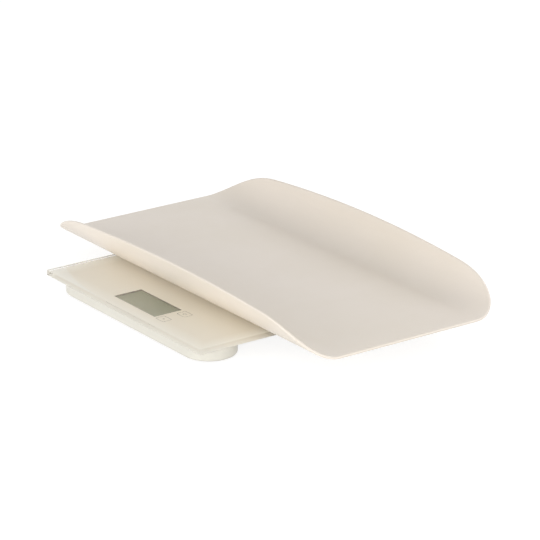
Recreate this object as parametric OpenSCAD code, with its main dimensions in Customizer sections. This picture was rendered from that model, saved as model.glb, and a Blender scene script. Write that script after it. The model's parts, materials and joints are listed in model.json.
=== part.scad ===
// Digital baby weighing scale: a glass platform on two foot housings, with a lift-off tray.
// X runs along the tray, -Y is the display side, +Z is up.
// The origin is at the middle of the whole object's footprint, on the floor.

/* [Glass platform] */
// Side of the square glass platform
plate_side = 303; // [295:1:310]
// Thickness of the tempered glass
plate_t = 6; // [5:0.5:8]
// Radius of the glass corners in plan
plate_r = 2; // [1.5:0.5:10]

/* [Foot housings] */
// Length of a housing over its round ends
bar_l = 289; // [289:0.5:293]
// Width of a housing, which is also the diameter of its ends
bar_w = 61; // [61:0.5:64]
// Height from the underside of a housing to the glass
bar_h = 16.8; // [16.8:0.1:18]
// Distance of a housing's middle from the edge of the glass
bar_inset = 38.2; // [36:0.2:42]
// Height of a housing's underside above the floor
floor_gap = 2.2; // [2:0.1:3]
// Thickness of a housing's wall
wall = 2.2; // [2:0.1:2.4]

/* [Tray] */
// Length of the tray
tray_l = 513; // [480:1:560]
// Thickness of the tray
tray_t = 3.1; // [2.5:0.1:4]
// Width of the tray's flat floor
tray_flat = 184.6; // [180:0.2:200]
// Radius that turns the floor up into the side lips, on the upper face
lip_r = 41.4; // [35:0.2:60]
// Angle through which the side lips turn up
lip_angle = 74; // [50:0.2:80]
// Straight height of the lips past the curve
lip_edge = 12; // [5:0.1:20]
// Length of the rounding at a tray corner, along the tray
corner_l = 83; // [50:1:120]
// Depth of the rounding at a tray corner, measured round the lip
corner_d = 56; // [40:1:60]
// Squareness of the rounding, where 2 gives a quarter of an ellipse
corner_power = 2.15; // [2:0.05:2.6]
// Share by which the sheet is narrower at its ends
taper = 0.1; // [0:0.01:0.12]
// Gap between the glass and the tray's floor
tray_gap = 0.8; // [0.5:0.1:2]
// Offset of the tray's middle from the glass along the tray
tray_shift = 4.2; // [0:0.1:6]
// Distance of the tray's middle from the display edge of the glass
tray_back = 194.8; // [180:0.2:200]

/* [Display and keys] */
// Length of the display window
window_l = 80; // [70:0.5:80]
// Depth of the display window
window_d = 36; // [30:0.5:36]
// Radius of the button that changes the units
button_r = 3; // [2.5:0.1:3.2]
// Travel of the button that changes the units
button_travel = 0.5; // [0.3:0.1:0.6]

/* [Batteries] */
// Diameter of an AAA cell
battery_d = 10.5; // [10:0.1:10.5]
// Length of an AAA cell with its nub
battery_l = 44.5; // [43.5:0.1:44.5]

/* [Hidden] */
$fn = 64;
feet = ["front_left", "front_right", "rear_left", "rear_right"];
cells = ["front", "rear"];
poles = ["positive", "negative"];
function named(stem, list) = [for (n = list) str(stem, n)];

cream = [0.90, 0.87, 0.80];
white = [0.93, 0.92, 0.88];
steel = [0.72, 0.73, 0.75];
sides = [-1, 1];
touch = 0.01;

// Plan positions. The whole footprint reaches from the display edge of the glass to the tray's rear lip.
lip_rad = lip_angle * PI / 180;
lip_half = tray_flat / 2 + (lip_r + tray_t / 2) * sin(lip_angle)
         + (lip_edge - tray_t / 2) * cos(lip_angle) + tray_t / 2;
front_y = -(tray_back + lip_half) / 2;
tray_y = front_y + tray_back;
glass_x = -tray_shift;
glass_y = front_y + plate_side / 2;

// Heights, from the floor up.
floor_t = 2.8;
inside_z = floor_gap + floor_t;
glass_z = floor_gap + bar_h;
film_t = 0.2;
tape_t = 0.6;
rim_z = glass_z - film_t - tape_t;
frame_t = 1.8;
frame_z = rim_z - frame_t;
board_t = 1.6;
board_top = frame_z - 3.8;
board_z = board_top - board_t;
cell_z = 8;
cell_t = 1.6;
boss_z = 11.4;
head_z = 8.2;
glass_top = glass_z + plate_t;
tray_z = glass_top + tray_gap + tray_t;

// Foot housing.
bar_r = bar_w / 2;
bar_reach = bar_l / 2 - bar_r;
frame_fit = 0.2;
bar_edge = 2.5;
tape_inset = 0.8;
tape_w = 5.4;
boss_r = 3.6;
front_bosses = [[-67, -20], [-67, 20], [93.3, -21], [93.3, 21]];
rear_bosses = [[-70, -20], [-70, 20], [70, -20], [70, 20]];
screw_r = 1.2;
screw_fit = 0.05;
screw_head_r = 2.6;
screw_head_h = 1.8;

// Load cells and feet.
foot_hole_r = 16.5;
seat_r = 17;
seat_wall = 2.5;
cell_side = 36;
tongue_side = 18;
slot_w = 3;
bridge_w = 8;
carrier_r = 15.8;
carrier_z = floor_gap + 0.2;
carrier_t = 3.2;
rubber_r = 14;
rubber_grooves = [6.4, 8.8, 11.2];
groove_w = 1;
groove_d = 0.6;
stud_r = 2.4;
press_r = 2;
press_at = 14.5;
cable_r = 0.8;
cable_z = cell_z + cell_t / 2;
cable_y = 15.2;

// Display, keys and board, from the middle of the front housing.
window_x = -0.8;
window_y = -1.8;
panel_l = window_l + 3.2;
panel_d = window_d + 3.2;
panel_t = 2.6;
panel_top = frame_z + 0.6;
ledge_d = 3.2;
panel_fit = 0.2;
rib_t = 1;
gasket_t = 0.8;
gasket_gap = 0.3;
window_fit = gasket_gap + gasket_t;
zebra_w = 2.2;
key_at = [[50.1, -15.2], [51.8, 11.3]];
pad_r = 4;
pad_hole_r = 5.5;
board_x = [-40.6, 88];
board_y = [-26.4, 22.6];
board_posts = [[-38.6, -23.8], [-38.6, 20.2], [84, -22], [84, 15]];
post_r = 2.1;
board_screw_r = 0.9;
board_hole_r = 1.1;
board_head_r = 1.8;
board_head_h = 1.4;
chip_at = [20, -4];
chip_r = 5.5;
chip_h = 1.4;

// Unit button and its switch.
button_at = [82, 0];
button_fit = 0.08;
button_sunk = 0.6;
flange_r = 4.4;
flange_t = 0.8;
plunger_r = 1.5;
plunger_z = inside_z + 1.6;
switch_side = 6;
switch_z = inside_z + 2.9;
plunger_in = 1.5;

// Battery bay, from the middle of the front housing.
bay_x = [-94.2, -45.2];
bay_half = 11.3;
bay_wall = 1.4;
bay_top = frame_z - 0.4;
battery_r = battery_d / 2;
battery_z = inside_z + 0.1 + battery_r;
battery_y = 5.55;
nub_r = 1.9;
nub_l = 1;
contact_t = 0.4;
contact_z = [6, 14.6];
contact_y = [1, 10];
leaf_t = 0.3;
leaf_w = 4;
tab_z = [8.2, 9.8];
lead_r = 0.6;
lead_y = 13.5;
lead_end = -36.5;

// Battery door.
door_t = 1.6;
door_z = floor_gap + 0.2;
hinge_x = bay_x[0] + 0.1;
hinge_z = door_z + door_t / 2;
door_end = bay_x[1] + 0.4;
door_half = 12.4;
door_fit = 0.2;
hinge_pin_r = 0.55;
hinge_hole_r = 0.6;
hinge_pin_l = 1.2;
mouth_x = [bay_x[0] + 1.4, bay_x[1] - 1.4];
mouth_half = 10.9;
tongue_x = [bay_x[1] - 3, bay_x[1] - 2];
tongue_half = 1.3;
tongue_top = 6.9;
thumb_r = 7;
thumb_d = 0.9;
rib_at = [for (i = [0 : 3]) bay_x[1] - 11 + 2 * i];
rib_w = 0.7;
rib_half = 5.5;

// Cable duct between the housings.
duct_w = 16;
duct_wall = 1.2;
duct_flange = 6;
duct_z = 12.6;
duct_gap = 0.2;
duct_cable_x = 3;
duct_cable_z = 15;
cable_drop_y = 20.8;

// Tray sheet.
half_l = tray_l / 2 - tray_t / 2;
half_s = tray_flat / 2 + lip_r * lip_rad + lip_edge - tray_t / 2;
corner_steps = 9;
side_steps = 8;
lip_steps = 11;
lip_share = 0.58;
tray_foot_r = 2.4;
tray_foot_at = [142.6, 100.8];

function foot_sign(name) = [
    name == "front_left" || name == "rear_left" ? -1 : 1,
    name == "front_left" || name == "front_right" ? 1 : -1
];

// Places children in a housing's own axes: X along it, +Y towards the middle of the glass.
module in_bar(front = true) {
    edge = plate_side / 2 - bar_inset;
    translate([glass_x, glass_y + (front ? -edge : edge), 0])
        scale([1, front ? 1 : -1, 1])
            children();
}

module slab(x, y, z) {
    translate([x[0], y[0], z[0]])
        cube([x[1] - x[0], y[1] - y[0], z[1] - z[0]]);
}

module rod(r, z0, z1) {
    translate([0, 0, z0])
        cylinder(r = r, h = z1 - z0);
}

// Plan of a housing, drawn in by inset.
module stadium(inset) {
    for (s = sides)
        translate([s * bar_reach, 0])
            circle(r = bar_r - inset);
    square([2 * bar_reach, bar_w - 2 * inset], center = true);
}

// Half section of a disc or bar with a rounded lower edge.
module soft_section(r, h, edge) {
    translate([r - edge, edge])
        circle(r = edge);
    square([r - edge, h]);
    translate([0, edge])
        square([r, h - edge]);
}

module soft_disc(r, h, edge) {
    rotate_extrude()
        intersection() {
            soft_section(r, h, edge);
            square([r, h]);
        }
}

module bar_outside() {
    translate([0, 0, floor_gap]) {
        for (s = sides)
            translate([s * bar_reach, 0, 0])
                soft_disc(bar_r, rim_z - floor_gap, bar_edge);
        translate([-bar_reach, 0, 0])
            rotate([90, 0, 90])
                linear_extrude(2 * bar_reach)
                    for (m = [0, 1])
                        mirror([m, 0])
                            soft_section(bar_r, rim_z - floor_gap, bar_edge);
    }
}

module bar_shell(bosses) {
    difference() {
        union() {
            difference() {
                bar_outside();
                translate([0, 0, inside_z])
                    linear_extrude(bar_h)
                        stadium(wall);
            }
            for (s = sides)
                translate([s * bar_reach, 0, 0])
                    rod(seat_r + seat_wall, floor_gap + floor_t / 2, cell_z);
            for (p = bosses)
                translate(p)
                    rod(boss_r, floor_gap + floor_t / 2, boss_z);
            children();
        }
        for (s = sides)
            translate([s * bar_reach, 0, 0]) {
                rod(foot_hole_r, 0, glass_z);
                rod(seat_r, inside_z, glass_z);
            }
        for (p = bosses)
            translate(p) {
                rod(screw_head_r + 0.3, 0, head_z);
                rod(screw_r + 0.4, 0, glass_z);
            }
        duct_notch();
    }
}

// Opening in a housing's inner wall, where the cable duct meets it.
module duct_notch() {
    duct_half = duct_w / 2 - duct_wall;
    slab([-duct_half, duct_half], [bar_r - wall - 1, bar_r + 1], [duct_z + duct_wall, glass_z]);
}

module bar_frame(bosses) {
    difference() {
        union() {
            translate([0, 0, frame_z])
                linear_extrude(frame_t)
                    stadium(wall + frame_fit);
            for (p = bosses)
                translate(p)
                    rod(boss_r, boss_z, frame_z + frame_t / 2);
            for (s = sides, u = sides, v = sides)
                translate([s * bar_reach + u * press_at, v * press_at, 0])
                    rod(press_r, cell_z + cell_t, frame_z + frame_t / 2);
            children();
        }
        for (p = bosses)
            translate(p)
                rod(screw_r + screw_fit, 0, frame_z + 1);
    }
}

module bar_tape() {
    translate([0, 0, rim_z])
        linear_extrude(tape_t)
            difference() {
                stadium(tape_inset);
                stadium(tape_inset + tape_w);
            }
}

// Section of the glass with its ground edges, standing along Y.
module glass_section() {
    half = plate_side / 2;
    edge = 0.6;
    translate([0, plate_side / 2, 0])
        rotate([90, 0, 0])
            linear_extrude(plate_side)
                polygon([
                    [-half + edge, 0], [half - edge, 0], [half, edge], [half, plate_t - edge],
                    [half - edge, plate_t], [-half + edge, plate_t], [-half, plate_t - edge], [-half, edge]
                ]);
}

module glass_platform() {
    corner = plate_side / 2 - plate_r;
    color(cream)
        translate([glass_x, glass_y, glass_z])
            intersection() {
                glass_section();
                rotate([0, 0, 90])
                    glass_section();
                linear_extrude(plate_t) {
                    for (x = sides, y = sides)
                        translate([x * corner, y * corner])
                            circle(r = plate_r);
                    square([plate_side, 2 * corner], center = true);
                    square([2 * corner, plate_side], center = true);
                }
            }
}

module backing_film() {
    side = plate_side - 3;
    color(cream)
        translate([0, 0, glass_z - film_t])
            linear_extrude(film_t)
                difference() {
                    translate([glass_x, glass_y])
                        square(side, center = true);
                    in_bar()
                        translate([window_x, window_y])
                            square([window_l, window_d], center = true);
                }
}

module front_tape() {
    color(white)
        in_bar()
            bar_tape();
}

module rear_tape() {
    color(white)
        in_bar(false)
            bar_tape();
}

module front_shell() {
    color(white)
        in_bar()
            difference() {
                bar_shell(front_bosses)
                    slab([bay_x[0] - bay_wall, bay_x[1] + bay_wall],
                         [-bay_half - bay_wall, bay_half + bay_wall],
                         [floor_gap + floor_t / 2, bay_top]);
                slab(bay_x, [-bay_half, bay_half], [inside_z, glass_z]);
                slab(mouth_x, [-mouth_half, mouth_half], [0, inside_z + touch]);
                door_recess();
                tab_slots();
                translate(button_at)
                    rod(button_r + button_fit, 0, inside_z + 1);
            }
}

// Recess for the battery door, with holes for its hinge pins and a scoop for the thumb.
module door_recess() {
    slab([hinge_x - door_t / 2 - door_fit, door_end + door_fit],
         [-door_half - door_fit, door_half + door_fit],
         [0, door_z + door_t]);
    slab([hinge_x - door_t / 2 - door_fit, hinge_x + 2],
         [-door_half - door_fit, door_half + door_fit],
         [0, door_z + door_t + door_fit]);
    for (s = sides)
        translate([hinge_x, s * (door_half + hinge_pin_l / 2), hinge_z])
            rotate([90, 0, 0])
                cylinder(r = hinge_hole_r, h = hinge_pin_l + 0.4, center = true);
    translate([door_end + 3, 0, floor_gap - thumb_r + thumb_d])
        sphere(r = thumb_r);
}

// Slots in the bay's side walls for the solder tabs of the contacts.
module tab_slots() {
    for (s = sides)
        translate([bay_x[0] - touch, s * (bay_half + bay_wall / 2) - bay_wall, tab_z[0] - 0.4])
            cube([1, 2 * bay_wall, tab_z[1] - tab_z[0] + 0.8]);
}

module rear_shell() {
    color(white)
        in_bar(false)
            bar_shell(rear_bosses);
}

module front_frame() {
    color(white)
        in_bar()
            difference() {
                bar_frame(front_bosses)
                    union() {
                        display_rib();
                        for (p = board_posts)
                            translate(p)
                                rod(post_r, board_top, frame_z + frame_t / 2);
                    }
                display_well(window_l + 2 * window_fit, window_d + 2 * window_fit, glass_z);
                display_well(panel_l + 2 * panel_fit, panel_d + 2 * panel_fit, panel_top);
                for (p = key_at)
                    translate(p)
                        rod(pad_hole_r, frame_z - 1, glass_z);
                for (p = board_posts)
                    translate(p)
                        rod(board_screw_r + screw_fit, 0, frame_z);
            }
}

module display_rib() {
    add = 2 * (panel_fit + rib_t);
    translate([window_x - (panel_l + add) / 2, window_y - (panel_d + add) / 2, board_top])
        cube([panel_l + add, panel_d + add, frame_z + frame_t / 2 - board_top]);
}

module display_well(l, d, top) {
    translate([window_x - l / 2, window_y - d / 2, board_top - 1])
        cube([l, d, top - board_top + 1]);
}

module rear_frame() {
    color(white)
        in_bar(false)
            bar_frame(rear_bosses);
}

// The housings' inner walls and the duct between them, as a span in Y.
duct_half_span = plate_side / 2 - bar_inset - bar_r - duct_gap;

module cable_duct() {
    span = [-duct_half_span, duct_half_span];
    inner = duct_w / 2 - duct_wall;
    color(white)
        translate([glass_x, glass_y, 0])
            difference() {
                union() {
                    slab([-duct_w / 2, duct_w / 2], span, [duct_z, rim_z]);
                    slab([-duct_w / 2 - duct_flange, duct_w / 2 + duct_flange], span,
                         [rim_z - duct_wall, rim_z]);
                }
                slab([-inner, inner], [span[0] - 1, span[1] + 1], [duct_z + duct_wall, glass_z]);
            }
}

module duct_tape() {
    inner = duct_w / 2 - duct_wall;
    color(white)
        translate([glass_x, glass_y, 0])
            for (s = sides)
                scale([s, 1, 1])
                    slab([inner, duct_w / 2 + duct_flange], [-duct_half_span, duct_half_span],
                         [rim_z, rim_z + tape_t]);
}

// Foam ring that keeps light and dust out between the display and the glass.
module display_gasket() {
    inner = [window_l + 2 * gasket_gap, window_d + 2 * gasket_gap];
    color([0.32, 0.30, 0.26])
        in_bar()
            translate([window_x, window_y, panel_top])
                linear_extrude(glass_z - film_t - panel_top)
                    difference() {
                        square([inner[0] + 2 * gasket_t, inner[1] + 2 * gasket_t], center = true);
                        square(inner, center = true);
                    }
}

module lcd_panel() {
    x = [window_x - panel_l / 2, window_x + panel_l / 2];
    y = [window_y - panel_d / 2, window_y + panel_d / 2];
    middle = panel_top - panel_t / 2;
    color([0.6, 0.61, 0.52])
        in_bar() {
            slab(x, y, [middle, panel_top]);
            slab(x, [y[0] + ledge_d, y[1]], [panel_top - panel_t, middle]);
        }
}

module zebra_strip() {
    y = window_y - panel_d / 2 + ledge_d / 2;
    color([0.85, 0.55, 0.6])
        in_bar()
            slab([window_x - window_l / 2, window_x + window_l / 2], [y - zebra_w / 2, y + zebra_w / 2],
                 [board_top, panel_top - panel_t / 2]);
}

module main_board() {
    color([0.15, 0.45, 0.25])
        in_bar()
            difference() {
                slab(board_x, board_y, [board_z, board_top]);
                for (p = board_posts)
                    translate(p)
                        rod(board_hole_r, 0, glass_z);
            }
}

// Glob of black resin under the board, a slice of a ball.
module controller_chip() {
    r = (chip_r * chip_r + chip_h * chip_h) / (2 * chip_h);
    color([0.08, 0.08, 0.09])
        in_bar()
            translate([chip_at[0], chip_at[1], board_z - chip_h])
                rotate_extrude()
                    intersection() {
                        translate([0, r])
                            circle(r = r, $fn = 240);
                        square([chip_r, chip_h]);
                    }
}

module unit_switch() {
    half = switch_side / 2;
    color([0.2, 0.2, 0.22])
        in_bar()
            translate(button_at)
                difference() {
                    slab([-half, half], [-half, half], [switch_z, board_z]);
                    rod(plunger_r + 0.1, 0, switch_z + plunger_in + button_travel + 0.2);
                }
}

// Screw with its head down, from under to the point at top, and a cross recess in the head.
module screw(r, head_r, head_h, under, top) {
    recess_w = head_r / 3;
    recess_h = head_h / 2;
    difference() {
        union() {
            rod(head_r, under, under + head_h);
            rod(r, under + head_h - touch, top);
        }
        for (a = [0, 90])
            rotate([0, 0, a])
                translate([0, 0, under])
                    cube([1.2 * head_r, recess_w, 2 * recess_h], center = true);
    }
}

module shell_screws() {
    color(steel) {
        in_bar()
            for (p = front_bosses)
                translate(p)
                    screw(screw_r, screw_head_r, screw_head_h, head_z - screw_head_h, frame_z + 0.8);
        in_bar(false)
            for (p = rear_bosses)
                translate(p)
                    screw(screw_r, screw_head_r, screw_head_h, head_z - screw_head_h, frame_z + 0.8);
    }
}

module board_screws() {
    color(steel)
        in_bar()
            for (p = board_posts)
                translate(p)
                    screw(board_screw_r, board_head_r, board_head_h, board_z - board_head_h, frame_z - 0.4);
}

module touch_pad(place) {
    color([0.25, 0.25, 0.27])
        in_bar()
            translate(key_at[place])
                rod(pad_r, board_top, glass_z - film_t);
}

// Places children at a foot, with +X pointing outwards along the housing.
module at_foot(name) {
    s = foot_sign(name);
    in_bar(s[1] > 0)
        scale([s[0], 1, 1])
            translate([bar_reach, 0, 0])
                children();
}

// Stamped plate whose tongue bends over one narrow bridge.
module load_cell(name) {
    slot = tongue_side + 2 * slot_w;
    color(steel)
        at_foot(name)
            translate([0, 0, cell_z])
                linear_extrude(cell_t)
                    difference() {
                        square(cell_side, center = true);
                        difference() {
                            square(slot, center = true);
                            square(tongue_side, center = true);
                            translate([slot / 2, 0])
                                square([slot, bridge_w], center = true);
                        }
                        circle(r = stud_r + 0.1);
                    }
}

module foot_carrier(name) {
    color(white)
        at_foot(name) {
            rod(carrier_r, carrier_z, carrier_z + carrier_t);
            rod(2 * stud_r, carrier_z, cell_z);
            rod(stud_r, carrier_z, cell_z + cell_t + 0.6);
            rod(stud_r + 1.4, cell_z + cell_t, cell_z + cell_t + 1);
        }
}

// Rubber pad with round grooves in the face that it stands on.
module foot_rubber(name) {
    color([0.8, 0.79, 0.74])
        at_foot(name)
            difference() {
                soft_disc(rubber_r, carrier_z, 0.9);
                for (r = rubber_grooves)
                    translate([0, 0, -touch])
                        difference() {
                            cylinder(r = r + groove_w / 2, h = groove_d + touch);
                            translate([0, 0, -1])
                                cylinder(r = r - groove_w / 2, h = groove_d + 2);
                        }
            }
}

// A round cable along a list of points, with a ball at each bend.
module cable(points, r) {
    for (i = [1 : len(points) - 1]) {
        run = points[i] - points[i - 1];
        translate(points[i - 1])
            rotate([0, acos(run[2] / norm(run)), atan2(run[1], run[0])])
                cylinder(r = r, h = norm(run));
        if (i < len(points) - 1)
            translate(points[i])
                sphere(r = r);
    }
}

// A front cable ends under the board. A rear one crosses by the duct and ends on top of it.
module cell_cable(name) {
    s = foot_sign(name);
    start = bar_reach - cell_side / 2;
    across = 2 * (plate_side / 2 - bar_inset);
    color([0.85, 0.85, 0.88])
        in_bar()
            scale([s[0], 1, 1])
                if (s[1] < 0)
                    cable([
                        [start, across - cable_y, cable_z],
                        [duct_cable_x, across - cable_y, cable_z],
                        [duct_cable_x, across - cable_y, duct_cable_z],
                        [duct_cable_x, cable_drop_y, duct_cable_z],
                        [duct_cable_x, cable_drop_y, board_top]
                    ], cable_r);
                else if (s[0] < 0)
                    cable([
                        [start, cable_y, cable_z],
                        [-board_x[0] - 2, cable_y, cable_z],
                        [-board_x[0] - 2, cable_y, board_z]
                    ], cable_r);
                else
                    cable([
                        [start, cable_y / 2, cable_z],
                        [board_x[1] - 2, cable_y / 2, cable_z],
                        [board_x[1] - 2, cable_y / 2, board_z]
                    ], cable_r);
}

// The front cell has its nub at the hinge end of the bay, the rear one at the other end.
module battery(place) {
    s = sides[place];
    inner = [bay_x[0] + contact_t, bay_x[1] - contact_t];
    color([0.2, 0.35, 0.6])
        in_bar()
            translate([s < 0 ? inner[0] : inner[1], s * battery_y, battery_z])
                rotate([0, -s * 90, 0]) {
                    cylinder(r = nub_r, h = battery_l);
                    translate([0, 0, nub_l])
                        cylinder(r = battery_r, h = battery_l - nub_l);
                }
}

// Sprung leaf from a contact plate to the flat end of a cell, standing out along +X.
module leaf() {
    reach = bay_x[1] - bay_x[0] - 2 * contact_t - battery_l;
    rise = 3.2;
    rotate([90, 0, 0])
        translate([0, 0, -leaf_w / 2])
            linear_extrude(leaf_w)
                polygon([
                    [0, -rise], [reach, -leaf_t], [reach, leaf_t], [0, rise],
                    [0, rise - 2 * leaf_t], [reach - 2 * leaf_t, 0], [0, 2 * leaf_t - rise]
                ]);
}

// Contact plate at one end of the bay, seen along +X from the wall.
module contact_plate(y) {
    slab([0, contact_t], y, contact_z);
}

module pole_contact(place) {
    s = sides[place];
    color(steel)
        in_bar()
            translate([bay_x[0], 0, 0])
                scale([1, s, 1]) {
                    contact_plate(contact_y);
                    slab([0, contact_t], [contact_y[1] - touch, lead_y + lead_r], tab_z);
                    if (s > 0)
                        translate([contact_t, battery_y, battery_z])
                            leaf();
                }
}

module link_contact() {
    color(steel)
        in_bar()
            translate([bay_x[1], 0, 0])
                scale([-1, 1, 1]) {
                    contact_plate([-contact_y[1], contact_y[1]]);
                    translate([contact_t, -battery_y, battery_z])
                        leaf();
                }
}

module battery_lead(place) {
    y = sides[place] * lead_y;
    z = (tab_z[0] + tab_z[1]) / 2;
    color(place == 0 ? "red" : "black")
        in_bar()
            cable([[bay_x[0] + contact_t, y, z], [lead_end, y, z], [lead_end, y, board_z]], lead_r);
}

// Door with a round hinge edge, two hinge pins, a tongue that snaps in the bay's mouth and ribs
// for the thumb.
module battery_door() {
    color(white)
        in_bar() {
            slab([hinge_x, door_end], [-door_half, door_half], [door_z, door_z + door_t]);
            translate([hinge_x, 0, hinge_z])
                rotate([90, 0, 0]) {
                    cylinder(r = door_t / 2, h = 2 * door_half, center = true);
                    cylinder(r = hinge_pin_r, h = 2 * (door_half + hinge_pin_l), center = true);
                }
            slab(tongue_x, [-tongue_half, tongue_half], [door_z + door_t - touch, tongue_top]);
            for (x = rib_at)
                slab([x - rib_w / 2, x + rib_w / 2], [-rib_half, rib_half], [floor_gap, door_z + touch]);
        }
}

module unit_button() {
    color(cream)
        in_bar()
            translate(button_at) {
                rod(button_r, floor_gap + button_sunk, inside_z);
                rod(flange_r, inside_z, inside_z + flange_t);
                rod(plunger_r, inside_z + flange_t - touch, plunger_z);
            }
}

module switch_plunger() {
    color([0.1, 0.1, 0.1])
        in_bar()
            translate(button_at)
                rod(plunger_r, plunger_z, switch_z + plunger_in);
}

// Point of the tray sheet: x along it, s round its upper face from the middle, d below that face.
function sheet(x, s, d) =
    let (
        run = abs(s),
        turn = min(max(run - tray_flat / 2, 0) / lip_r, lip_rad) * 180 / PI,
        rest = max(run - tray_flat / 2 - lip_r * lip_rad, 0),
        y = min(run, tray_flat / 2) + (lip_r + d) * sin(turn) + rest * cos(turn),
        z = lip_r - (lip_r + d) * cos(turn) + rest * sin(turn)
    )
    [x, sign(s) * y, z];

// Half width of the sheet at x, measured round it.
function sheet_half(x) =
    let (
        into = min(max(abs(x) - half_l + corner_l, 0) / corner_l, 1),
        drop = corner_d * (1 - pow(1 - pow(into, corner_power), 1 / corner_power)),
        narrow = 1 - taper * pow(x / half_l, 2)
    )
    (half_s - drop) * narrow;

// Direction out of the sheet's outline at x, as [along x, along s] on the +s side.
function sheet_out(x) =
    let (
        step = 0.01,
        slope = (sheet_half(x + step) - sheet_half(x - step)) / (2 * step),
        end = abs(x) > half_l - step
    )
    end ? [sign(x), 0] : [-slope, 1] / norm([slope, 1]);

// A closed sheet: two faces of cols by rows points, joined round the outline by a half-round edge.
module tray_sheet() {
    flat_end = half_l - corner_l;
    xs = concat(
        [for (i = [corner_steps : -1 : 1]) -flat_end - corner_l * sin(90 * i / corner_steps)],
        [for (i = [0 : side_steps]) flat_end * (2 * i / side_steps - 1)],
        [for (i = [1 : corner_steps]) flat_end + corner_l * sin(90 * i / corner_steps)]
    );
    lip_vs = [for (i = [0 : lip_steps]) lip_share + (1 - lip_share) * i / lip_steps];
    vs = concat([for (i = [lip_steps : -1 : 0]) -lip_vs[i]], [-lip_share / 2, 0, lip_share / 2], lip_vs);
    cols = len(xs);
    rows = len(vs);
    face = cols * rows;
    upper = [for (x = xs, v = vs) sheet(x, v * sheet_half(x), 0)];
    lower = [for (x = xs, v = vs) sheet(x, v * sheet_half(x), tray_t)];

    // Outline of the grid, as column and row numbers in order.
    ring = concat(
        [for (i = [0 : cols - 2]) [i, 0]],
        [for (j = [0 : rows - 2]) [cols - 1, j]],
        [for (i = [cols - 1 : -1 : 1]) [i, rows - 1]],
        [for (j = [rows - 1 : -1 : 1]) [0, j]]
    );
    count = len(ring);
    edge_angles = [54, 90 - lip_angle, -27, -lip_angle];
    bands = len(edge_angles);
    edge = [
        for (p = ring)
            let (
                x = xs[p[0]],
                v = vs[p[1]],
                side = abs(v) < 1 ? [sign(x), 0] : sheet_out(x),
                out = [side[0], side[1] * sign(v)]
            )
            for (a = edge_angles)
                sheet(
                    x + out[0] * tray_t / 2 * cos(a),
                    v * sheet_half(x) + out[1] * tray_t / 2 * cos(a),
                    tray_t / 2 * (1 - sin(a))
                )
    ];
    // Number of the point in a band of the edge, from 0 on the upper face to bands + 1 on the lower.
    function at(k, band) =
        let (p = ring[k % count])
        band == 0 ? p[0] * rows + p[1]
        : band > bands ? face + p[0] * rows + p[1]
        : 2 * face + (k % count) * bands + band - 1;
    function quad(a, b, c, d) = [[a, b, c], [a, c, d]];
    faces = [
        for (i = [0 : cols - 2], j = [0 : rows - 2])
            let (a = i * rows + j, b = a + rows)
            each concat(
                quad(a, a + 1, b + 1, b),
                quad(face + a, face + b, face + b + 1, face + a + 1)
            ),
        for (k = [0 : count - 1], band = [0 : bands])
            each quad(at(k, band), at(k + 1, band), at(k + 1, band + 1), at(k, band + 1))
    ];
    polyhedron(points = concat(upper, lower, edge), faces = faces, convexity = 6);
}

module tray_shell() {
    color(cream)
        translate([0, tray_y, tray_z])
            tray_sheet();
}

// Round foot under the start of the lip's curve, cut to fit under it.
module tray_foot(name) {
    s = foot_sign(name);
    low = tray_z - tray_t;
    color([0.8, 0.79, 0.74])
        translate([0, tray_y, 0])
            scale([s[0], -s[1], 1])
                difference() {
                    translate([tray_foot_at[0], tray_foot_at[1], glass_top])
                        cylinder(r = tray_foot_r, h = 2 * tray_gap + tray_foot_r);
                    translate([tray_foot_at[0] - 5, tray_flat / 2, low + lip_r + tray_t])
                        rotate([0, 90, 0])
                            cylinder(r = lip_r + tray_t, h = 10, $fn = 180);
                }
}

glass_platform();
backing_film();
front_tape();
rear_tape();
front_frame();
rear_frame();
front_shell();
rear_shell();
cable_duct();
duct_tape();
display_gasket();
lcd_panel();
zebra_strip();
main_board();
controller_chip();
unit_switch();
shell_screws();
board_screws();
for (i = [0, 1]) {
    touch_pad(i);
    battery(i);
    pole_contact(i);
    battery_lead(i);
}
for (name = feet) {
    load_cell(name);
    foot_carrier(name);
    foot_rubber(name);
    cell_cable(name);
    tray_foot(name);
}
link_contact();  // contact_link
battery_door();
unit_button();
switch_plunger();
tray_shell();
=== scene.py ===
import json
import math
import bpy
import numpy as np
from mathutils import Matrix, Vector


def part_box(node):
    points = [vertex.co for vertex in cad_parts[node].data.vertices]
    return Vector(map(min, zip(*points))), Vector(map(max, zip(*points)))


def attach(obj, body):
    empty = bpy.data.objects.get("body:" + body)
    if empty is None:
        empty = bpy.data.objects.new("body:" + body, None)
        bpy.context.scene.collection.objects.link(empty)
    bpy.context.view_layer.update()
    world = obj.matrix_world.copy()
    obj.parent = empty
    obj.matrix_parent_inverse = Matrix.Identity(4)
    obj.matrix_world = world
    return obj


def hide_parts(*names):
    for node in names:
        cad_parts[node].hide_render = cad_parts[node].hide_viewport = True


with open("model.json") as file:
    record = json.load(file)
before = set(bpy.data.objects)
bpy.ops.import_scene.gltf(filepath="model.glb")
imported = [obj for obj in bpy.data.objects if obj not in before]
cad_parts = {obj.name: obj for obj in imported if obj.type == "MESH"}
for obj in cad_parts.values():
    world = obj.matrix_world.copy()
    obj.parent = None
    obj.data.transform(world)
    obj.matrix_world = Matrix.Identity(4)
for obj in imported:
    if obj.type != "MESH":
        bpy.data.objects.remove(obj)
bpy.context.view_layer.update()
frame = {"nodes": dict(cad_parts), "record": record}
scene = bpy.context.scene
nodes = frame["nodes"]
mm = 0.001
print("frame loaded:", len(nodes), "nodes")

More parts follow.
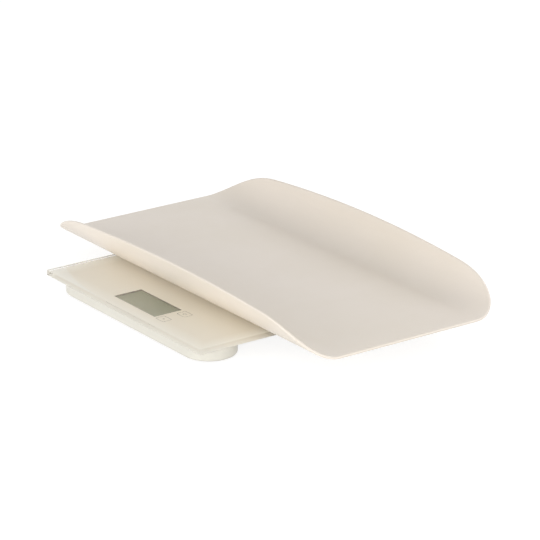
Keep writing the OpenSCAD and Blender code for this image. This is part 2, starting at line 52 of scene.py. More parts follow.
cameraSettings = {
    "azimuth": 54.18,        # degrees, 0 looks along +Y
    "elevation": 19.93,      # degrees above the horizon
    "distance": 3.3125,      # metres along the view, to the middle of the glass's display edge
    "across": 0.1624,        # metres that the camera stands to the right of that middle
    "above": 0.0416,         # metres that it stands above it, square to the view
    "focalPixels": 3055.3,
    "imagePixels": 540,
    "sensor": 36.0,
}


def makeCamera(s):
    lo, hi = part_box("glass_platform")
    target = np.array([(lo[0] + hi[0]) / 2, lo[1], hi[2]])
    turn, tilt = math.radians(s["azimuth"]), math.radians(s["elevation"])
    right = np.array([math.cos(turn), math.sin(turn), 0])
    up = np.array([-math.sin(turn) * math.sin(tilt), math.cos(turn) * math.sin(tilt), math.cos(tilt)])
    forward = np.array([-math.sin(turn) * math.cos(tilt), math.cos(turn) * math.cos(tilt), -math.sin(tilt)])
    data = bpy.data.cameras.new("photoCamera")
    data.sensor_width = s["sensor"]
    data.lens = s["focalPixels"] / s["imagePixels"] * s["sensor"]
    data.clip_end = 50
    camera = bpy.data.objects.new("photoCamera", data)
    scene.collection.objects.link(camera)
    camera.location = target + s["across"] * right + s["above"] * up - s["distance"] * forward
    camera.rotation_euler = (math.pi / 2 - tilt, 0, turn)
    scene.camera = camera
    print("camera placed")


makeCamera(cameraSettings)


def newPiece(name, points, faces, smooth=True):
    mesh = bpy.data.meshes.new(name)
    mesh.from_pydata(np.asarray(points).tolist(), [], [list(map(int, f)) for f in faces])
    mesh.polygons.foreach_set("use_smooth", [smooth] * len(mesh.polygons))
    mesh.update()
    piece = bpy.data.objects.new(name, mesh)
    scene.collection.objects.link(piece)
    return piece


def place(piece, body, slot, *replaced):
    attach(piece, body)
    if replaced:
        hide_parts(*replaced)


traySettings = {
    "thickness": 3.1 * mm, "flat": 184.6 * mm,
    "lipRadius": 41.4 * mm, "lipAngle": math.radians(74), "lipEdge": 12 * mm,
    "cornerLength": 83 * mm, "cornerDepth": 56 * mm, "cornerPower": 2.15, "taper": 0.1,
    "cornerSteps": 34, "sideSteps": 30, "lipSteps": 44, "flatSteps": 8, "edgeSteps": 10,
    "flatShare": 0.56,       # share of the half section that the coarse middle rows cover
}


# The tray is one sheet. Its section is a flat, then an arc, then a short straight edge on each side.
# A point is given by x along the tray, the run round the section and the depth below the upper face.
def traySheet(s, origin, length):
    t = s["thickness"]
    halfLength = length / 2 - t / 2
    flat = s["flat"] / 2
    arc = s["lipRadius"] * s["lipAngle"]
    halfRun = flat + arc + s["lipEdge"] - t / 2

    def point(x, run, depth):
        away = np.abs(run)
        turn = np.clip((away - flat) / s["lipRadius"], 0, s["lipAngle"])
        rest = np.maximum(away - flat - arc, 0)
        reach = s["lipRadius"] + depth
        y = np.minimum(away, flat) + reach * np.sin(turn) + rest * np.cos(turn)
        z = s["lipRadius"] - reach * np.cos(turn) + rest * np.sin(turn)
        return np.stack([x + 0 * y, np.sign(run) * y, z], -1) + origin

    # Half of the run at x: a corner a little squarer than an ellipse, and ends drawn in by a parabola.
    def halfWidth(x):
        into = np.clip((np.abs(x) - halfLength + s["cornerLength"]) / s["cornerLength"], 0, 1)
        drop = s["cornerDepth"] * (1 - (1 - into ** s["cornerPower"]) ** (1 / s["cornerPower"]))
        return (halfRun - drop) * (1 - s["taper"] * (x / halfLength) ** 2)

    turn = np.sin(np.linspace(0, np.pi / 2, s["cornerSteps"] + 1))[1:]
    middle = halfLength - s["cornerLength"]
    corner = middle + s["cornerLength"] * turn
    xs = np.concatenate([-corner[::-1], np.linspace(-middle, middle, s["sideSteps"] + 1), corner])
    lip = np.linspace(s["flatShare"], 1, s["lipSteps"] + 1)
    floor = np.linspace(-s["flatShare"], s["flatShare"], s["flatSteps"] + 1)[1:-1]
    vs = np.concatenate([-lip[::-1], floor, lip])
    cols, rows = len(xs), len(vs)
    width = halfWidth(xs)
    x, v = np.meshgrid(xs, vs, indexing="ij")
    run = v * width[:, None]
    upper = point(x, run, 0).reshape(-1, 3)
    lower = point(x, run, t).reshape(-1, 3)

    # The half-round rim follows the grid's outline, and swells outwards square to it.
    ring = np.array(
        [(i, 0) for i in range(cols - 1)]
        + [(cols - 1, j) for j in range(rows - 1)]
        + [(i, rows - 1) for i in range(cols - 1, 0, -1)]
        + [(0, j) for j in range(rows - 1, 0, -1)]
    )
    step = 0.001 * mm
    slope = (halfWidth(xs + step) - halfWidth(xs - step)) / (2 * step)
    outX = -slope / np.hypot(slope, 1)
    outRun = 1 / np.hypot(slope, 1)
    ringX, ringV = xs[ring[:, 0]], vs[ring[:, 1]]
    atEnd = (ring[:, 0] == 0) | (ring[:, 0] == cols - 1)
    alongX = np.where(atEnd, np.sign(ringX), outX[ring[:, 0]])
    alongRun = np.where(atEnd, 0, outRun[ring[:, 0]]) * np.sign(ringV)
    angles = np.linspace(np.pi / 2, -np.pi / 2, s["edgeSteps"] + 2)[1:-1]
    swell = t / 2 * np.cos(angles)
    depth = t / 2 * (1 - np.sin(angles))
    edge = point(
        ringX[:, None] + alongX[:, None] * swell,
        (ringV * width[ring[:, 0]])[:, None] + alongRun[:, None] * swell,
        np.broadcast_to(depth, (len(ring), len(angles))),
    ).reshape(-1, 3)

    base = (np.arange(cols - 1)[:, None] * rows + np.arange(rows - 1)).ravel()
    quads = np.stack([base, base + rows, base + rows + 1, base + 1], 1)
    count, face = len(ring), cols * rows
    first = ring[:, :1] * rows + ring[:, 1:]
    middleBands = 2 * face + np.arange(count * len(angles)).reshape(count, -1)
    bands = np.concatenate([first, middleBands, face + first], 1)
    following = np.roll(bands, -1, 0)
    rim = np.stack([bands[:, :-1], bands[:, 1:], following[:, 1:], following[:, :-1]], -1).reshape(-1, 4)
    return np.concatenate([upper, lower, edge]), np.concatenate([quads, face + quads[:, ::-1], rim])


def makeTray(s):
    lo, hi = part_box("tray_shell")
    origin = np.array([0, (lo[1] + hi[1]) / 2, lo[2] + s["thickness"]])
    tray = newPiece("tray", *traySheet(s, origin, hi[0] - lo[0]))
    place(tray, "tray", "tray_plastic", "tray_shell")
    print("tray made:", len(tray.data.polygons), "faces")
    return tray


# Outline of a rectangle with round corners, anticlockwise: a quarter circle at each corner in turn.
def roundedOutline(halfX, halfY, radius, steps):
    angles = np.linspace(0, np.pi / 2, steps + 1)
    quarters = np.arange(4)[:, None] * np.pi / 2 + angles
    cornerX = np.array([1, -1, -1, 1])[:, None] * (halfX - radius)
    cornerY = np.array([1, 1, -1, -1])[:, None] * (halfY - radius)
    x = cornerX + radius * np.cos(quarters)
    y = cornerY + radius * np.sin(quarters)
    return np.stack([x.ravel(), y.ravel()], 1)


glassSettings = {
    "cornerRadius": 2 * mm, "cornerSteps": 8, "arris": 0.6 * mm,
    "sink": 0.03 * mm,       # how far the glass reaches below the print's face, to wet it
}


# The plate is its outline at two heights, with a face between each pair of points and a cap on each side.
def makeGlass(s):
    lo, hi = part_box("glass_platform")
    outline = roundedOutline((hi[0] - lo[0]) / 2, (hi[1] - lo[1]) / 2, s["cornerRadius"], s["cornerSteps"])
    outline += [(lo[0] + hi[0]) / 2, (lo[1] + hi[1]) / 2]
    count = len(outline)
    heights = [lo[2] - s["sink"], hi[2]]
    points = np.concatenate([np.column_stack([outline, np.full(count, z)]) for z in heights])
    i = np.arange(count)
    sides = np.stack([i, (i + 1) % count, (i + 1) % count + count, i + count], 1).tolist()
    plate = newPiece("glassPlate", points, sides + [i[::-1].tolist(), (i + count).tolist()])
    plate.data.polygons.foreach_set("material_index", [1] * count + [0, 0])
    bevel = plate.modifiers.new("arris", "BEVEL")
    bevel.width = s["arris"]
    bevel.segments = 3
    bevel.limit_method = "ANGLE"
    bevel.harden_normals = True
    place(plate, "base", "platform_glass", "glass_platform")
    print("glass made")
    return plate


markSettings = {
    "keyLength": 14.5 * mm, "keyDepth": 11.5 * mm, "keyRadius": 2 * mm, "line": 0.45 * mm,
    "ringRadius": 2.1 * mm, "ringGap": math.radians(38), "barLength": 2 * mm, "dotRadius": 0.9 * mm,
    "arcSteps": 24, "cornerSteps": 6,
    "ink": 0.02 * mm,        # thickness of the print
}


# A ribbon of even width along a path: each point is moved to both sides, square to the path.
def ribbon(path, width, closed):
    if closed:
        ahead, behind = np.roll(path, -1, 0), np.roll(path, 1, 0)
    else:
        ahead, behind = np.vstack([path[1:], path[-1:]]), np.vstack([path[:1], path[:-1]])
    along = ahead - behind
    along /= np.linalg.norm(along, axis=1)[:, None]
    square = np.stack([along[:, 1], -along[:, 0]], 1)
    points = np.concatenate([path + square * width / 2, path - square * width / 2])
    count = len(path)
    i = np.arange(count if closed else count - 1)
    after = (i + 1) % count
    return points, np.stack([i, after, after + count, i + count], 1)


# An arc: the radius times the cosine and the sine of evenly spaced angles.
def circlePath(radius, start, end, steps):
    angles = np.linspace(start, end, steps + 1)
    return radius * np.stack([np.cos(angles), np.sin(angles)], 1)


# Each key has a thin outline. The rear one holds an open ring with a bar, the front one a small ring.
def makeKeyMarks(s):
    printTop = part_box("backing_film")[1][2]
    outline = roundedOutline(s["keyLength"] / 2, s["keyDepth"] / 2, s["keyRadius"], s["cornerSteps"])
    gap = s["ringGap"]
    top = np.pi / 2
    openRing = circlePath(s["ringRadius"], top + gap, top + 2 * np.pi - gap, s["arcSteps"])
    bar = np.array([[0, s["ringRadius"] * 0.35], [0, s["ringRadius"] * 0.35 + s["barLength"]]])
    smallRing = circlePath(s["dotRadius"], 0, 2 * np.pi, s["arcSteps"])[:-1]
    marks = {
        "touch_pad_rear": [(outline, True), (openRing, False), (bar, False)],
        "touch_pad_front": [(outline, True), (smallRing, True)],
    }
    points, faces, start = [], [], 0
    for pad, strokes in marks.items():
        lo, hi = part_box(pad)
        centre = np.array([(lo[0] + hi[0]) / 2, (lo[1] + hi[1]) / 2])
        for path, closed in strokes:
            flat, quads = ribbon(path, s["line"], closed)
            points.append(np.column_stack([flat + centre, np.full(len(flat), printTop)]))
            faces.append(quads + start)
            start += len(flat)
    marksPiece = newPiece("keyMarks", np.concatenate(points), np.concatenate(faces), smooth=False)
    solid = marksPiece.modifiers.new("ink", "SOLIDIFY")
    solid.thickness = s["ink"]
    solid.offset = 1
    place(marksPiece, "base", "glass_print")
    print("key marks made")
    return marksPiece


tray = makeTray(traySettings)
glass = makeGlass(glassSettings)
keyMarks = makeKeyMarks(markSettings)


# An sRGB colour, as picked in the colour wheel, to the linear values that the sockets take.
def colour(red, green, blue):
    c = np.array([red, green, blue]) / 255
    linear = np.where(c > 0.04045, ((c + 0.055) / 1.055) ** 2.4, c / 12.92)
    return (*linear.tolist(), 1)


# Adds a shader node. A socket given as an input is linked, and any other value is set.
def add(tree, kind, inputs=None, **settings):
    node = tree.nodes.new("ShaderNode" + kind)
    for key, value in settings.items():
        setattr(node, key, value)
    for key, value in (inputs or {}).items():
        if isinstance(value, bpy.types.NodeSocket):
            tree.links.new(value, node.inputs[key])
        else:
            node.inputs[key].default_value = value
    return node


def noise(tree, place, scale, detail=2.0):
    return add(tree, "TexNoise", {"Vector": place, "Scale": scale, "Detail": detail}).outputs["Fac"]


def span(tree, value, low, high, fromLow=0.3, fromHigh=0.7):
    inputs = {"Value": value, "From Min": fromLow, "From Max": fromHigh, "To Min": low, "To Max": high}
    return add(tree, "MapRange", inputs).outputs["Result"]


def mixed(tree, mask, first, second):
    node = add(tree, "Mix", data_type="RGBA")
    for key, value in ((0, mask), (6, first), (7, second)):
        if isinstance(value, bpy.types.NodeSocket):
            tree.links.new(value, node.inputs[key])
        else:
            node.inputs[key].default_value = value
    return node.outputs[2]


def newGroup(name, inputs, outputs):
    tree = bpy.data.node_groups.new(name, "ShaderNodeTree")
    for direction, sockets in (("INPUT", inputs), ("OUTPUT", outputs)):
        for socket, kind in sockets.items():
            tree.interface.new_socket(socket, in_out=direction, socket_type="NodeSocket" + kind)
    return tree, tree.nodes.new("NodeGroupInput").outputs, tree.nodes.new("NodeGroupOutput").inputs


skinSettings = {
    "drift": 7.0, "gloss": 55.0, "ripple": 160.0,   # noise scales, per metre, of the moulded skin
    "grainShare": 0.35,      # height of the grain against the ripple's
    "blotch": 260.0, "scratch": (40, 2600, 2600),   # the stamped skin's, its scratches running along X
}


# Moulded plastic: broad drifts of shade, slow changes of gloss and a fine spark-eroded grain.
def mouldedSkin():
    tree, given, result = newGroup(
        "mouldedSkin",
        {"Colour": "Color", "Shade": "Color", "Polish": "Float", "Grain": "Float"},
        {"Colour": "Color", "Roughness": "Float", "Height": "Float"},
    )
    place = add(tree, "TexCoord").outputs["Object"]
    drift = span(tree, noise(tree, place, skinSettings["drift"]), 0, 1)
    tree.links.new(mixed(tree, drift, given["Colour"], given["Shade"]), result["Colour"])
    flow = span(tree, noise(tree, place, skinSettings["gloss"], 3.0), -0.05, 0.05)
    rough = add(tree, "Math", {0: given["Polish"], 1: flow}, operation="ADD").outputs[0]
    tree.links.new(rough, result["Roughness"])
    grain = add(tree, "TexVoronoi", {"Vector": place, "Scale": given["Grain"]}, feature="SMOOTH_F1")
    ripple = noise(tree, place, skinSettings["ripple"], 2.0)
    height = {0: grain.outputs["Distance"], 1: skinSettings["grainShare"]}
    height = add(tree, "Math", height, operation="MULTIPLY").outputs[0]
    height = add(tree, "Math", {0: height, 1: ripple}, operation="ADD").outputs[0]
    tree.links.new(height, result["Height"])
    return tree


# Drawn or stamped metal: long scratches along one axis, and darker blotches.
def stampedSkin():
    tree, given, result = newGroup(
        "stampedSkin",
        {"Colour": "Color", "Shade": "Color", "Polish": "Float"},
        {"Colour": "Color", "Roughness": "Float", "Height": "Float"},
    )
    place = add(tree, "TexCoord").outputs["Object"]
    stretched = add(tree, "Mapping", {"Vector": place, "Scale": skinSettings["scratch"]}).outputs["Vector"]
    scratch = noise(tree, stretched, 1.0, 4.0)
    blotch = span(tree, noise(tree, place, skinSettings["blotch"], 4.0), 0, 1)
    tree.links.new(mixed(tree, blotch, given["Colour"], given["Shade"]), result["Colour"])
    spread = span(tree, scratch, -0.08, 0.1)
    rough = add(tree, "Math", {0: given["Polish"], 1: spread}, operation="ADD").outputs[0]
    tree.links.new(rough, result["Roughness"])
    tree.links.new(scratch, result["Height"])
    return tree


# Foam and cloth: round cells, with painted shade that darkens the pores.
def cellSkin():
    tree, given, result = newGroup(
        "cellSkin",
        {"Colour": "Color", "Shade": "Color", "Cells": "Float"},
        {"Colour": "Color", "Height": "Float"},
    )
    place = add(tree, "TexCoord").outputs["Object"]
    cells = add(tree, "TexVoronoi", {"Vector": place, "Scale": given["Cells"]}).outputs["Distance"]
    # Painted shade: the colour darkens towards each cell's middle, where the relief is lowest.
    poreShade = span(tree, cells, 1, 0, 0.05, 0.6)
    tree.links.new(mixed(tree, poreShade, given["Colour"], given["Shade"]), result["Colour"])
    tree.links.new(cells, result["Height"])
    return tree


groups = {"moulded": mouldedSkin(), "stamped": stampedSkin(), "cells": cellSkin()}


def newMaterial(name):
    material = bpy.data.materials.new(name)
    material.use_nodes = True
    tree = material.node_tree
    return material, tree, tree.nodes["Principled BSDF"]


# A material whose colour, gloss and relief come from one of the groups above.
def skinned(name, kind, colours, group, relief=0.02 * mm, strength=0.4, **sockets):
    material, tree, shader = newMaterial(name)
    skin = add(tree, "Group", node_tree=groups[kind])
    skin.inputs["Colour"].default_value = colour(*colours[0])
    skin.inputs["Shade"].default_value = colour(*colours[1])
    for key, value in group.items():
        skin.inputs[key].default_value = value
    tree.links.new(skin.outputs["Colour"], shader.inputs["Base Color"])
    if "Roughness" in skin.outputs:
        tree.links.new(skin.outputs["Roughness"], shader.inputs["Roughness"])
    bump = add(tree, "Bump", {"Height": skin.outputs["Height"], "Distance": relief, "Strength": strength})
    tree.links.new(bump.outputs["Normal"], shader.inputs["Normal"])
    for key, value in sockets.items():
        shader.inputs[key.replace("_", " ")].default_value = value
    return material


clearSettings = {"roughness": 0.02, "tint": (255, 255, 254), "ior": 1.5}


# Clear glass. Shadow and diffuse rays pass straight through, so that the print below is lit.
def glassMaterial(name, s):
    material, tree, shader = newMaterial(name)
    place = add(tree, "TexCoord").outputs["Object"]
    shader.inputs["Base Color"].default_value = colour(*s["tint"])
    shader.inputs["Transmission Weight"].default_value = 1
    shader.inputs["IOR"].default_value = s["ior"]
    rough = span(tree, noise(tree, place, 30.0, 3.0), s["roughness"] * 0.7, s["roughness"] * 1.3)
    tree.links.new(rough, shader.inputs["Roughness"])
    path = add(tree, "LightPath").outputs
    passing = add(tree, "Math", {0: path["Is Shadow Ray"], 1: path["Is Diffuse Ray"]}, operation="MAXIMUM")
    clear = add(tree, "BsdfTransparent", {"Color": colour(*s["tint"])})
    both = add(tree, "MixShader", {0: passing.outputs[0], 1: shader.outputs[0], 2: clear.outputs[0]})
    tree.links.new(both.outputs[0], tree.nodes["Material Output"].inputs["Surface"])
    return material


groundSettings = {
    "milk": (230, 226, 211), "mark": (222, 219, 205), "marks": (60, 60, 2400),  # scales of the wheel marks
    "relief": 0.01 * mm,
}


# Ground edge of the glass: milky, with fine wheel marks along it.
def groundMaterial(s):
    material, tree, shader = newMaterial("groundGlass")
    place = add(tree, "TexCoord").outputs["Object"]
    marks = add(tree, "Mapping", {"Vector": place, "Scale": s["marks"]}).outputs["Vector"]
    wheel = noise(tree, marks, 1.0, 3.0)
    milk = mixed(tree, span(tree, wheel, 0, 1), colour(*s["milk"]), colour(*s["mark"]))
    tree.links.new(milk, shader.inputs["Base Color"])
    tree.links.new(span(tree, wheel, 0.45, 0.6), shader.inputs["Roughness"])
    bump = add(tree, "Bump", {"Height": wheel, "Distance": s["relief"], "Strength": 0.4})
    tree.links.new(bump.outputs["Normal"], shader.inputs["Normal"])
    return material


printSettings = {
    "ink": ((243, 236, 222), (240, 232, 216)), "paintedEdgeLight": (250, 246, 235),
    "edgeLightFrom": 5 * mm, "edgeLightTo": 22 * mm,  # distances from the glass's edge over which the painted edge light fades
}


# Print on the back of the glass: cream ink with a slightly uneven density, and painted light that makes it paler
# along the glass's edges.
def printMaterial(s):
    material = skinned("creamPrint", "moulded", s["ink"], {"Polish": 0.5, "Grain": 900.0}, relief=0.004 * mm)
    tree = material.node_tree
    lo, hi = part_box("glass_platform")
    place = add(tree, "SeparateXYZ", {0: add(tree, "TexCoord").outputs["Object"]}).outputs
    away = []
    for axis in (0, 1):
        offset = add(tree, "Math", {0: place[axis], 1: (lo[axis] + hi[axis]) / 2}, operation="SUBTRACT").outputs[0]
        offset = add(tree, "Math", {0: offset}, operation="ABSOLUTE").outputs[0]
        inside = add(tree, "Math", {0: (hi[axis] - lo[axis]) / 2, 1: offset}, operation="SUBTRACT")
        away.append(inside.outputs[0])
    nearest = add(tree, "Math", {0: away[0], 1: away[1]}, operation="MINIMUM").outputs[0]
    # Painted light: the print turns paler within a few millimetres of the glass's edges.
    paintedEdgeLight = span(tree, nearest, 1, 0, s["edgeLightFrom"], s["edgeLightTo"])
    base = tree.nodes["Principled BSDF"].inputs["Base Color"]
    tree.links.new(mixed(tree, paintedEdgeLight, base.links[0].from_socket, colour(*s["paintedEdgeLight"])), base)
    return material


inkSettings = {"ink": (124, 114, 93), "dense": (108, 99, 80), "specks": 2500.0, "roughness": 0.5}


# Ink of the key marks: grey-brown, with a fine change of density.
def inkMaterial(s):
    material, tree, shader = newMaterial("keyInk")
    place = add(tree, "TexCoord").outputs["Object"]
    density = span(tree, noise(tree, place, s["specks"], 2.0), 0, 1)
    ink = mixed(tree, density, colour(*s["ink"]), colour(*s["dense"]))
    tree.links.new(ink, shader.inputs["Base Color"])
    shader.inputs["Roughness"].default_value = s["roughness"]
    return material


displaySettings = {
    # The front and rear colours are the two ends of painted shade that darkens the display towards the rear.
    "front": (133, 139, 113), "rearShade": (118, 127, 100), "cloud": (116, 125, 98),
    "cloudScale": 18.0, "cloudMost": 0.5,    # the largest share of the cloud's colour
    "cells": 2600.0,
}


# Blank display: grey-green under a satin polariser, with painted shade that makes it darker towards the rear.
def displayMaterial(s):
    material, tree, shader = newMaterial("displayGreen")
    place = add(tree, "TexCoord").outputs["Object"]
    fine = add(tree, "TexVoronoi", {"Vector": place, "Scale": s["cells"]}).outputs["Distance"]
    lo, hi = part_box("lcd_panel")
    # Painted shade: the colour darkens from the front edge to the middle, and stays darker to the rear.
    rearShade = span(tree, add(tree, "SeparateXYZ", {0: place}).outputs["Y"], 0, 1, lo[1], (lo[1] + hi[1]) / 2)
    shadedGreen = mixed(tree, rearShade, colour(*s["front"]), colour(*s["rearShade"]))
    cloud = span(tree, noise(tree, place, s["cloudScale"]), 0, s["cloudMost"])
    green = mixed(tree, cloud, shadedGreen, colour(*s["cloud"]))
    tree.links.new(green, shader.inputs["Base Color"])
    tree.links.new(span(tree, fine, 0.28, 0.36, 0, 0.7), shader.inputs["Roughness"])
    return material


# Green solder mask over copper tracks, which a brick pattern lays out.
def boardMaterial():
    material, tree, shader = newMaterial("circuitBoard")
    place = add(tree, "TexCoord").outputs["Object"]
    tracks = add(tree, "TexBrick", {"Vector": place, "Scale": 220.0, "Mortar Size": 0.06, "Brick Width": 2.4})
    mask = span(tree, tracks.outputs["Fac"], 0, 1, 0, 1)
    green = mixed(tree, mask, colour(38, 104, 62), colour(58, 132, 76))
    tree.links.new(green, shader.inputs["Base Color"])
    bump = add(tree, "Bump", {"Height": mask, "Distance": 0.03 * mm, "Strength": 0.5})
    tree.links.new(bump.outputs["Normal"], shader.inputs["Normal"])
    shader.inputs["Roughness"].default_value = 0.32
    return material


cellSettings = {
    "jacket": (52, 84, 112), "ring": (196, 150, 74), "steel": (196, 196, 192),
    "ringShare": 0.26, "nubShare": 0.024,    # shares of the battery's length, from its positive end
    "endFacing": 0.7,        # a face that looks along the battery by more than this is a steel end
}


# Battery: steel ends, a printed jacket and a ring of bare colour at the positive end.
def cellMaterial(name, node, positiveX, s):
    material, tree, shader = newMaterial(name)
    lo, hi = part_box(node)
    start, end = (lo[0], hi[0]) if positiveX < 0 else (hi[0], lo[0])
    place = add(tree, "TexCoord").outputs
    x = add(tree, "SeparateXYZ", {0: place["Object"]}).outputs["X"]
    along = span(tree, x, 0, 1, start, end)
    band = add(tree, "Math", {0: along, 1: s["ringShare"]}, operation="LESS_THAN").outputs[0]
    jacket = mixed(tree, band, colour(*s["jacket"]), colour(*s["ring"]))
    facing = add(tree, "SeparateXYZ", {0: add(tree, "NewGeometry").outputs["Normal"]}).outputs["X"]
    side = add(tree, "Math", {0: facing}, operation="ABSOLUTE").outputs[0]
    flatEnd = add(tree, "Math", {0: side, 1: s["endFacing"]}, operation="GREATER_THAN").outputs[0]
    nub = add(tree, "Math", {0: along, 1: s["nubShare"]}, operation="LESS_THAN").outputs[0]
    steel = add(tree, "Math", {0: flatEnd, 1: nub}, operation="MAXIMUM").outputs[0]
    tree.links.new(mixed(tree, steel, jacket, colour(*s["steel"])), shader.inputs["Base Color"])
    tree.links.new(steel, shader.inputs["Metallic"])
    wear = noise(tree, place["Object"], 900.0, 4.0)
    tree.links.new(span(tree, wear, 0.22, 0.36), shader.inputs["Roughness"])
    return material


# The rubber strip carries dark stripes, one to each contact.
def stripedMaterial():
    material, tree, shader = newMaterial("zebraRubber")
    place = add(tree, "TexCoord").outputs["Object"]
    wave = add(tree, "TexWave", {"Vector": place, "Scale": 320.0, "Distortion": 0.0}).outputs["Fac"]
    stripe = span(tree, wave, 0, 1, 0.45, 0.55)
    tree.links.new(mixed(tree, stripe, colour(222, 150, 158), colour(60, 48, 50)), shader.inputs["Base Color"])
    shader.inputs["Roughness"].default_value = 0.6
    return material


plastic = {"Polish": 0.36, "Grain": 1500.0}
finishes = {
    "tray_plastic": skinned("trayPlastic", "moulded", ((228, 219, 209), (225, 216, 204)), plastic),
    "housing_plastic": skinned("housingPlastic", "moulded", ((214, 212, 204), (211, 208, 199)), plastic),
    "button_plastic": skinned("buttonPlastic", "moulded", ((226, 220, 204), (220, 213, 196)),
                              {"Polish": 0.45, "Grain": 2200.0}),
    "switch_plastic": skinned("switchPlastic", "moulded", ((38, 38, 40), (30, 30, 32)),
                              {"Polish": 0.5, "Grain": 2600.0}),
    "black_resin": skinned("blackResin", "moulded", ((22, 22, 24), (14, 14, 16)),
                           {"Polish": 0.16, "Grain": 500.0}, relief=0.05 * mm),
    "tape": skinned("foamTape", "cells", ((232, 230, 220), (205, 202, 190)), {"Cells": 3200.0},
                    relief=0.08 * mm, Roughness=0.85),
    # The gasket's dark brown is partly the foam's own colour and partly painted shade for the display's recess
    # edges.
    "gasket_foam": skinned("gasketFoamRecessShade", "cells", ((82, 75, 60), (56, 51, 42)), {"Cells": 2800.0},
                           relief=0.08 * mm, Roughness=0.9),
    "conductive_foam": skinned("conductiveCloth", "cells", ((88, 88, 90), (60, 60, 62)), {"Cells": 4200.0},
                               relief=0.05 * mm, Roughness=0.6),
    "foot_rubber": skinned("footRubber", "cells", ((206, 203, 192), (190, 187, 176)), {"Cells": 2400.0},
                           relief=0.04 * mm, Roughness=0.72),
    "tray_rubber": skinned("trayFootRubber", "cells", ((206, 199, 182), (188, 181, 164)), {"Cells": 2600.0},
                           relief=0.03 * mm, Roughness=0.5),
    "steel": skinned("stampedSteel", "stamped", ((196, 198, 200), (176, 178, 182)), {"Polish": 0.32},
                     relief=0.01 * mm, Metallic=1.0),
    "contact_metal": skinned("nickelPlate", "stamped", ((214, 211, 202), (196, 193, 184)), {"Polish": 0.2},
                             relief=0.006 * mm, Metallic=1.0),
    "red_wire": skinned("redJacket", "moulded", ((176, 34, 30), (158, 26, 24)), {"Polish": 0.3, "Grain": 1800.0}),
    "black_wire": skinned("blackJacket", "moulded", ((32, 32, 33), (24, 24, 25)),
                          {"Polish": 0.3, "Grain": 1800.0}),
    "cable_jacket": skinned("greyJacket", "moulded", ((205, 205, 208), (194, 194, 198)),
                            {"Polish": 0.34, "Grain": 1800.0}),
    "circuit_board": boardMaterial(),
    "elastomer": stripedMaterial(),
    "lcd": displayMaterial(displaySettings),
    "glass_print": printMaterial(printSettings),
}


def paint(piece, *materials):
    piece.data.materials.clear()
    for material in materials:
        piece.data.materials.append(material)


for subpart in frame["record"]["subparts"]:
    slot = subpart["material_slot"]
    if slot in finishes:
        paint(nodes[subpart["node"]], finishes[slot])
for node, positiveX in (("battery_front", -1), ("battery_rear", 1)):
    paint(nodes[node], cellMaterial(node + "Jacket", node, positiveX, cellSettings))
paint(tray, finishes["tray_plastic"])
paint(keyMarks, inkMaterial(inkSettings))
polished = glassMaterial("polishedGlass", clearSettings)
ground = groundMaterial(groundSettings)
paint(glass, polished, ground)
paint(nodes["glass_platform"], polished)
print("materials made:", len(bpy.data.materials))


studioSettings = {
    "ambient": 0.53, "floorColour": (246, 245, 242), "floorHalf": 6.0,
    "floorGlow": 0.86, "floorShade": 0.28,
}
lamps = {
    "frontBox": {"from": (-0.2, -1.3, 0.3), "wide": 1.2, "high": 0.5, "watts": 7.3, "tint": (255, 255, 254)},
    "nearBox": {"from": (1.4, -1.1, 0.6), "wide": 1.0, "high": 0.8, "watts": 7.3, "tint": (255, 255, 254)},
    "sideBox": {"from": (1.5, -0.2, 0.35), "wide": 1.0, "high": 0.5, "watts": 6.4, "tint": (255, 255, 254)},
    "backBox": {"from": (0, 2, 1.4), "wide": 1.6, "high": 1.0, "watts": 19, "tint": (255, 255, 254)},
}


# 1 for rays that come from the camera, a reflection or a refraction, and 0 for those that carry light on.
def seenDirectly(tree):
    path = add(tree, "LightPath").outputs
    either = add(tree, "Math", {0: path["Is Camera Ray"], 1: path["Is Glossy Ray"]}, operation="MAXIMUM")
    either = add(tree, "Math", {0: either.outputs[0], 1: path["Is Transmission Ray"]}, operation="MAXIMUM")
    return either.outputs[0]


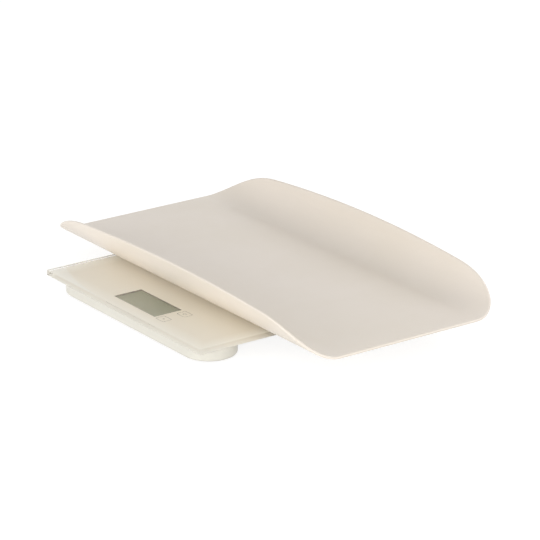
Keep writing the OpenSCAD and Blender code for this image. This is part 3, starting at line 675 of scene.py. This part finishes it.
def makeWorld(s):
    world = bpy.data.worlds.new("studio")
    scene.world = world
    world.use_nodes = True
    tree = world.node_tree
    white = (1, 1, 1, 1)
    light = add(tree, "Background", {"Color": white, "Strength": s["ambient"]})
    backdrop = add(tree, "Background", {"Color": white, "Strength": 1.0})
    both = add(tree, "MixShader", {0: seenDirectly(tree), 1: light.outputs[0], 2: backdrop.outputs[0]})
    tree.links.new(both.outputs[0], tree.nodes["World Output"].inputs["Surface"])


def makeFloor(s):
    half = s["floorHalf"]
    corners = [(-half, -half, 0), (half, -half, 0), (half, half, 0), (-half, half, 0)]
    floor = newPiece("floor", corners, [(0, 1, 2, 3)], smooth=False)
    material, tree, shader = newMaterial("floorPaint")
    tree.nodes.remove(shader)
    paper = add(tree, "BsdfDiffuse", {"Color": colour(*s["floorColour"])})
    white = (1, 1, 1, 1)
    glow = add(tree, "Emission", {"Color": white, "Strength": s["floorGlow"] / (1 - s["floorShade"])})
    shade = add(tree, "Math", {0: seenDirectly(tree), 1: 1 - s["floorShade"]}, operation="MULTIPLY")
    both = add(tree, "MixShader", {0: shade.outputs[0], 1: paper.outputs[0], 2: glow.outputs[0]})
    clear = add(tree, "BsdfTransparent", {"Color": white})
    behind = add(tree, "NewGeometry").outputs["Backfacing"]  # seen from below, the floor is left out
    sided = add(tree, "MixShader", {0: behind, 1: both.outputs[0], 2: clear.outputs[0]})
    tree.links.new(sided.outputs[0], tree.nodes["Material Output"].inputs["Surface"])
    paint(floor, material)


def makeLamp(name, s):
    light = bpy.data.lights.new(name, "AREA")
    light.shape = "RECTANGLE"
    light.size = s["wide"]
    light.size_y = s["high"]
    light.energy = s["watts"]
    light.color = colour(*s["tint"])[:3]
    lamp = bpy.data.objects.new(name, light)
    scene.collection.objects.link(lamp)
    lamp.location = s["from"]
    lamp.rotation_euler = (Vector((0, 0, 0)) - lamp.location).to_track_quat("-Z", "Y").to_euler()


makeWorld(studioSettings)
makeFloor(studioSettings)
for name, settings in lamps.items():
    makeLamp(name, settings)
scene.view_settings.view_transform = "Standard"
print("studio made")
